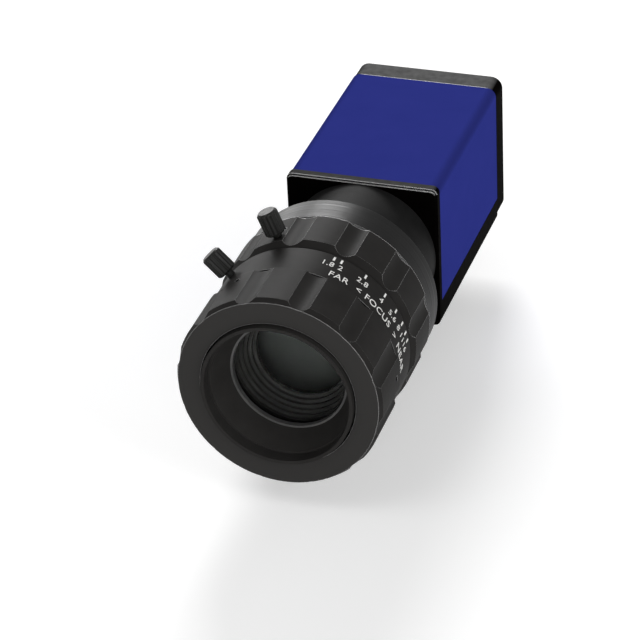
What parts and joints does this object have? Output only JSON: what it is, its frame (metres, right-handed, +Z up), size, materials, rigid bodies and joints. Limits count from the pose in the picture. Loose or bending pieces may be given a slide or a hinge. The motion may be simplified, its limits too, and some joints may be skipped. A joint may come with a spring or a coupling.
{
  "type": "machine vision camera",
  "caption": "Small square machine vision camera with a blue cover, black end plates and a C-mount lens with fluted iris and focus rings and lock screws.",
  "frame": {"origin": "centre of the four tapped holes in the base tray, on its lower face", "axes": "+Z up, the lens looks along -Y, +X is to the right for someone who looks along +Y"},
  "size_m": [0.0376, 0.0994, 0.0416],
  "materials": {
    "black_anodised": "satin black anodised",
    "blue_paint": "deep blue satin coat",
    "mount_black": "brushed black anodised",
    "lens_black": "satin black anodised",
    "knob_black": "blackened, knurled",
    "dark_steel": "blackened",
    "ceramic": "dark ceramic",
    "glass": "clear",
    "filter_glass": "coated",
    "lens_glass": "coated",
    "circuit_board": "solder mask",
    "chip_black": "matt",
    "brass": "machined",
    "jack_metal": "plated",
    "gold_contact": "plated",
    "connector_plastic": "matt",
    "led_body": "gloss",
    "light_pipe": "clear",
    "blade_steel": "blackened spring steel"
  },
  "bodies": {
    "camera": {"front_plate": "black_anodised", "base_tray": "black_anodised", "top_cover": "blue_paint", "rear_plate": "black_anodised", "housing_screws": "dark_steel", "c_mount_ring": "mount_black", "filter_glass": "filter_glass", "filter_ring": "black_anodised", "mount_screws": "dark_steel", "image_sensor": "ceramic", "sensor_glass": "glass", "sensor_board": "circuit_board", "processor_board": "circuit_board", "interface_board": "circuit_board", "processor_chip": "chip_black", "memory_chips": "chip_black", "board_connectors": "chip_black", "board_standoffs": "brass", "board_screws": "dark_steel", "network_jack": "jack_metal", "jack_contacts": "gold_contact", "plug_lock_nuts": "dark_steel", "io_socket_shell": "jack_metal", "io_socket_insert": "connector_plastic", "io_socket_pins": "gold_contact", "status_led": "led_body", "status_light_pipe": "light_pipe", "rear_barrel": "lens_black", "number_barrel": "lens_black", "focus_guide_pin": "dark_steel", "rear_lens": "lens_glass", "rear_lens_spacer": "lens_black", "third_lens": "lens_glass", "rear_retaining_ring": "lens_black", "iris_pivot_plate": "lens_black"},
    "iris_control": {"iris_ring": "lens_black", "iris_drive_screw": "dark_steel", "iris_drive_ring": "brass"},
    "focus_control": {"focus_ring": "lens_black", "focus_ring_screws": "dark_steel"},
    "focusing_barrel": {"focus_barrel": "lens_black", "second_lens": "lens_glass", "front_lens_spacer": "lens_black", "front_lens": "lens_glass", "front_retaining_ring": "lens_black"},
    "iris_lock": {"iris_lock_screw": "knob_black"},
    "focus_lock": {"focus_lock_screw": "knob_black"},
    "blade_1": {"iris_blade_1": "blade_steel"},
    "blade_2": {"iris_blade_2": "blade_steel"},
    "blade_3": {"iris_blade_3": "blade_steel"},
    "blade_4": {"iris_blade_4": "blade_steel"},
    "blade_5": {"iris_blade_5": "blade_steel"}
  },
  "joints": [
    {"name": "focus_turn", "type": "hinge", "parent": "camera", "child": "focus_control", "pos_m": [0, -0.0672, 0.0145], "axis": [0, 1, 0], "range_deg": [0, 240]},
    {"name": "focus_travel", "type": "slide", "parent": "camera", "child": "focusing_barrel", "axis": [0, -1, 0], "range_m": [0, 0.003]},
    {"name": "iris_turn", "type": "hinge", "parent": "camera", "child": "iris_control", "pos_m": [0, -0.0492, 0.0145], "axis": [0, 1, 0], "range_deg": [0, 64.7]},
    {"name": "focus_lock_turn", "type": "hinge", "parent": "camera", "child": "focus_lock", "pos_m": [-0.01426, -0.0579, 0.02852], "axis": [-0.7133, 0, 0.7009], "range_deg": [0, 360]},
    {"name": "iris_lock_turn", "type": "hinge", "parent": "iris_control", "child": "iris_lock", "pos_m": [-0.00743, -0.0502, 0.03307], "axis": [-0.3714, 0, 0.9285], "range_deg": [0, 360]},
    {"name": "blade_1_pivot", "type": "hinge", "parent": "camera", "child": "blade_1", "pos_m": [-0.0123, -0.0497, 0.0145], "axis": [0, 1, 0], "range_deg": [0, 20.1]},
    {"name": "blade_2_pivot", "type": "hinge", "parent": "camera", "child": "blade_2", "pos_m": [-0.0038, -0.0497, 0.0262], "axis": [0, 1, 0], "range_deg": [0, 20.1]},
    {"name": "blade_3_pivot", "type": "hinge", "parent": "camera", "child": "blade_3", "pos_m": [0.00995, -0.0497, 0.02173], "axis": [0, 1, 0], "range_deg": [0, 20.1]},
    {"name": "blade_4_pivot", "type": "hinge", "parent": "camera", "child": "blade_4", "pos_m": [0.00995, -0.0497, 0.00727], "axis": [0, 1, 0], "range_deg": [0, 20.1]},
    {"name": "blade_5_pivot", "type": "hinge", "parent": "camera", "child": "blade_5", "pos_m": [-0.0038, -0.0497, 0.0028], "axis": [0, 1, 0], "range_deg": [0, 20.1]}
  ],
  "couplings": [
    {"joint": "focus_travel", "follows": "focus_turn", "m_per_rad": 0.0007162},
    {"joint": "blade_1_pivot", "follows": "iris_turn", "ratio": 0.31067},
    {"joint": "blade_2_pivot", "follows": "iris_turn", "ratio": 0.31067},
    {"joint": "blade_3_pivot", "follows": "iris_turn", "ratio": 0.31067},
    {"joint": "blade_4_pivot", "follows": "iris_turn", "ratio": 0.31067},
    {"joint": "blade_5_pivot", "follows": "iris_turn", "ratio": 0.31067}
  ]
}
